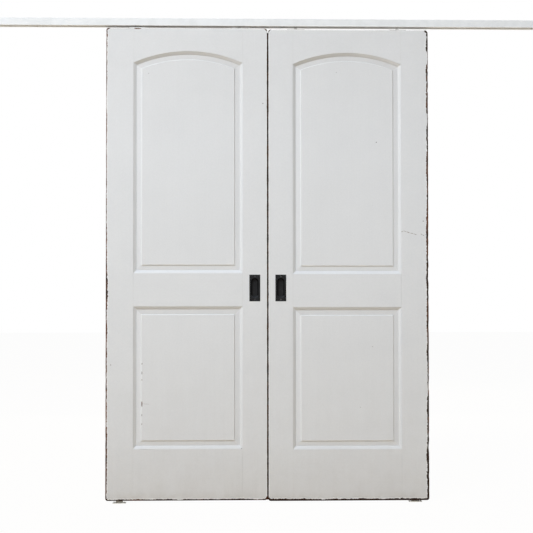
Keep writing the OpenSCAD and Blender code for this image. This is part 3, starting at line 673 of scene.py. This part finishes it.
def own_copy(node, name):
    """A new piece with the node's own mesh, its facets joined into whole faces, for editing."""
    bpy.ops.object.select_all(action="DESELECT")
    piece = bpy.data.objects.new(name, cad[node].data.copy())
    scene.collection.objects.link(piece)
    piece.select_set(True)
    bpy.context.view_layer.objects.active = piece
    bpy.ops.object.mode_set(mode="EDIT")
    bpy.ops.mesh.select_mode(type="EDGE")
    bpy.ops.mesh.select_all(action="SELECT")
    bpy.ops.mesh.remove_doubles(threshold=ONE_POINT)
    bpy.ops.mesh.dissolve_limited(angle_limit=ONE_FACE)
    bpy.ops.mesh.select_all(action="DESELECT")
    bpy.ops.object.mode_set(mode="OBJECT")
    return piece


def stand_in(piece, node, body):
    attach(piece, body)
    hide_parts(node)


def soften(piece, wanted, width, steps):
    """Bevels the edges whose two ends are both wanted."""
    bpy.ops.object.mode_set(mode="OBJECT")
    mesh = piece.data
    for face in mesh.polygons:
        face.select = False
    for point in mesh.vertices:
        point.select = False
    for edge in mesh.edges:
        edge.select = all(wanted(mesh.vertices[index].co) for index in edge.vertices)
    bpy.ops.object.mode_set(mode="EDIT")
    bpy.ops.mesh.bevel(offset=width, segments=steps, affect="EDGES")
    bpy.ops.object.mode_set(mode="OBJECT")


def cast_pull(side, face):
    """A flush pull whose finger recess has a rolled lip and a rounded floor."""
    node = f"{side}_{face}_pull"
    low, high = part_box(node)
    middle = (low + high) / 2
    if face == "front":
        mouth, floor = low.y, low.y + CUP_DEPTH
    else:
        mouth, floor = high.y, high.y - CUP_DEPTH
    piece = own_copy(node, node + "_cast")

    def in_recess(point, level):
        return (abs(point.y - level) < ON_PLANE and abs(point.x - middle.x) < CUP_HALF_WIDTH
                and abs(point.z - middle.z) < CUP_HALF_HEIGHT)

    soften(piece, lambda point: in_recess(point, mouth), *CUP_LIP)
    soften(piece, lambda point: in_recess(point, floor), *CUP_FLOOR)
    bpy.ops.object.shade_smooth_by_angle(angle=SMOOTH_ANGLE)
    dress(piece, PULL_BLACK, PULL_PAINTED_SHADE, PULL_PAINTED_HIGHLIGHT)
    # recess faces that turn down or sideways get the painted shade, those that turn up the painted
    # highlight
    for facet in piece.data.polygons:
        away = facet.center - middle
        in_cup = (abs(away.x) < CUP_HALF_WIDTH and abs(away.z) < CUP_WALL_HALF_HEIGHT
                  and abs(facet.center.y - mouth) > BELOW_MOUTH)
        if in_cup and abs(facet.normal.y) < FLAT_FACING:
            facet.material_index = 1 if facet.normal.z < UP_FACING else 2
        else:
            facet.material_index = 0
    stand_in(piece, node, side + "_leaf")


def bead_cheeks():
    """The two thin cheeks that the guide groove leaves at the foot of the meeting bead."""
    low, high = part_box("right_meeting_bead")
    foot = LEAF_BOTTOM["right"] + CHEEK_FOOT
    size = (high.x - low.x, CHEEK_THICK, low.z - foot)
    middle = ((high.x + low.x) / 2, low.y + CHEEK_THICK / 2, (low.z + foot) / 2)
    bpy.ops.object.select_all(action="DESELECT")
    bpy.ops.mesh.primitive_cube_add(size=1.0, location=(0.0, 0.0, 0.0))
    piece = bpy.context.object
    piece.name = "right_bead_cheeks"
    bpy.ops.object.mode_set(mode="EDIT")
    bpy.ops.mesh.select_all(action="SELECT")
    bpy.ops.transform.resize(value=size, center_override=(0, 0, 0))
    bpy.ops.transform.translate(value=middle)

    def at_nose(point):
        return abs(point.x - low.x) < ON_PLANE and abs(point.y - low.y) < ON_PLANE

    soften(piece, at_nose, *CHEEK_NOSE)
    bpy.ops.object.mode_set(mode="EDIT")
    bpy.ops.mesh.select_all(action="SELECT")
    bpy.ops.mesh.duplicate()
    bpy.ops.transform.resize(value=(1.0, -1.0, 1.0), center_override=(0, 0, 0))
    bpy.ops.mesh.select_all(action="SELECT")
    bpy.ops.mesh.normals_make_consistent(inside=False)
    bpy.ops.object.mode_set(mode="OBJECT")
    dress(piece, BEAD)
    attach(piece, "right_leaf")


def chip_depth(place, inwards):
    """How deep the arris is chipped here, from nothing to about 1."""
    depth = 0.0
    for (across, leaf, along), quiet, strength in CHIPS:
        spot = Vector((place.y * across, inwards * leaf, place.z * along))
        depth += strength * max(0.0, noise.noise(spot) - quiet)
    return depth


def chipped_stile(side, finish):
    """An outer stile whose long arrises are knocked and chipped, as years of bumps leave them."""
    node = side + "_outer_stile"
    piece = own_copy(node, node + "_chipped")
    bottom, top = LEAF_BOTTOM[side], LEAF_TOP[side]
    inwards = 1.0 if side == "left" else -1.0
    bpy.ops.object.mode_set(mode="EDIT")
    for cut in range(1, CHIP_CUTS):
        level = bottom + (top - bottom) * cut / CHIP_CUTS
        bpy.ops.mesh.select_all(action="SELECT")
        bpy.ops.mesh.bisect(plane_co=(0.0, 0.0, level), plane_no=(0.0, 0.0, 1.0))
    beside_arris = -inwards * (OUTER_EDGE - ARRIS_CUT)
    bpy.ops.mesh.select_all(action="SELECT")
    bpy.ops.mesh.bisect(plane_co=(beside_arris, 0.0, 0.0), plane_no=(1.0, 0.0, 0.0))
    bpy.ops.object.mode_set(mode="OBJECT")
    worn = set()
    for point in piece.data.vertices:
        place = point.co.copy()
        beside = OUTER_EDGE - abs(place.x)
        below_face = -FRONT - abs(place.y)
        if beside > ARRIS or below_face > ARRIS:
            continue
        worn.add(point.index)
        depth = CHIP_DEPTH[side] * chip_depth(place, inwards)
        point.co.x = place.x + inwards * depth
        point.co.y = place.y * (1.0 - depth / abs(place.y))
    for face in piece.data.polygons:
        face.use_smooth = worn.issuperset(face.vertices)
    dress(piece, finish)
    stand_in(piece, node, side + "_leaf")


for side in SIDES:
    for face in ("front", "back"):
        cast_pull(side, face)
bead_cheeks()

for side in SIDES:
    upright = painted_wood(side, UPRIGHT, "upright paint")
    level = painted_wood(side, LEVEL, "level paint", seams=True)
    chipped_stile(side, upright)
    leaf_finishes = [
        (upright, ("meeting_stile", "upper_panel", "lower_panel")),
        (level, ("top_rail", "lock_rail", "bottom_rail")),
        (DOWEL, ("dowels",)),
        (SCREW_BLACK, ("pull_screws",)),
        (ZINC, ("outer_hanger_plate", "meeting_hanger_plate", "plate_screws",
                "outer_hanger_bolt", "meeting_hanger_bolt", "lock_nuts", "axles")),
        (CASTING, ("outer_trolley", "meeting_trolley", "end_stop")),
        (NYLON, ("wheel_pair_1", "wheel_pair_2", "wheel_pair_3", "wheel_pair_4", "floor_guide")),
    ]
    for finish, parts in leaf_finishes:
        for part in parts:
            dress(cad[f"{side}_{part}"], finish)
dress(cad["centre_stops"], CASTING)
dress(cad["stop_bumpers"], RUBBER)
dress(cad["head_track"], LACQUER)
dress(cad["right_meeting_bead"], BEAD)


# Floor, light and camera

def seen_straight(tree):
    """1 for what the camera sees, straight or by a reflection; nothing for light on its way."""
    path = add(tree, "ShaderNodeLightPath").outputs
    return most(tree, path["Is Camera Ray"], path["Is Glossy Ray"], path["Is Transmission Ray"])


def pale_floor():
    bpy.ops.object.select_all(action="DESELECT")
    bpy.ops.mesh.primitive_plane_add(size=FLOOR_SIZE, location=(0.0, 0.0, -FLOOR_DROP))
    floor = bpy.context.object
    floor.name = "floor"
    material, tree, surface = new_material("pale floor")
    matt = fill(tree, surface, Base_Color=FLOOR_COLOUR, Roughness=FLOOR_ROUGH)[0]
    white = add(tree, "ShaderNodeEmission").outputs[0]
    share = times(tree, seen_straight(tree), FLOOR_WHITE)
    blend = fill_in_order(tree, add(tree, "ShaderNodeMixShader"), share, matt, white)[0]
    fill(tree, tree.nodes["Material Output"], Surface=blend)
    dress(floor, material)


def soft_sky():
    world = bpy.data.worlds.new("studio")
    scene.world = world
    world.use_nodes = True
    tree = world.node_tree
    colour = mix_colour(tree, seen_straight(tree), SKY_LIGHT, SKY_SEEN)
    fill(tree, tree.nodes["Background"], Color=colour)


def soft_lamp(name, place, aim, size, watts, colour):
    lamp = bpy.data.lights.new(name, "AREA")
    lamp.shape = "RECTANGLE"
    lamp.size, lamp.size_y = size
    lamp.energy = watts
    lamp.color = colour
    holder = bpy.data.objects.new(name, lamp)
    holder.location = place
    holder.rotation_euler = (Vector(aim) - Vector(place)).to_track_quat("-Z", "Y").to_euler()
    scene.collection.objects.link(holder)


def camera():
    lens = bpy.data.cameras.new("camera")
    lens.sensor_width = CAMERA_SENSOR
    lens.lens = CAMERA_LENS
    lens.clip_end = CAMERA_REACH
    holder = bpy.data.objects.new("camera", lens)
    holder.location = CAMERA_PLACE
    holder.rotation_euler = [math.radians(turn) for turn in CAMERA_TURN]
    scene.collection.objects.link(holder)
    scene.camera = holder


scene.view_settings.view_transform = "Standard"
pale_floor()
soft_sky()
for lamp in LAMPS:
    soft_lamp(*lamp)
camera()
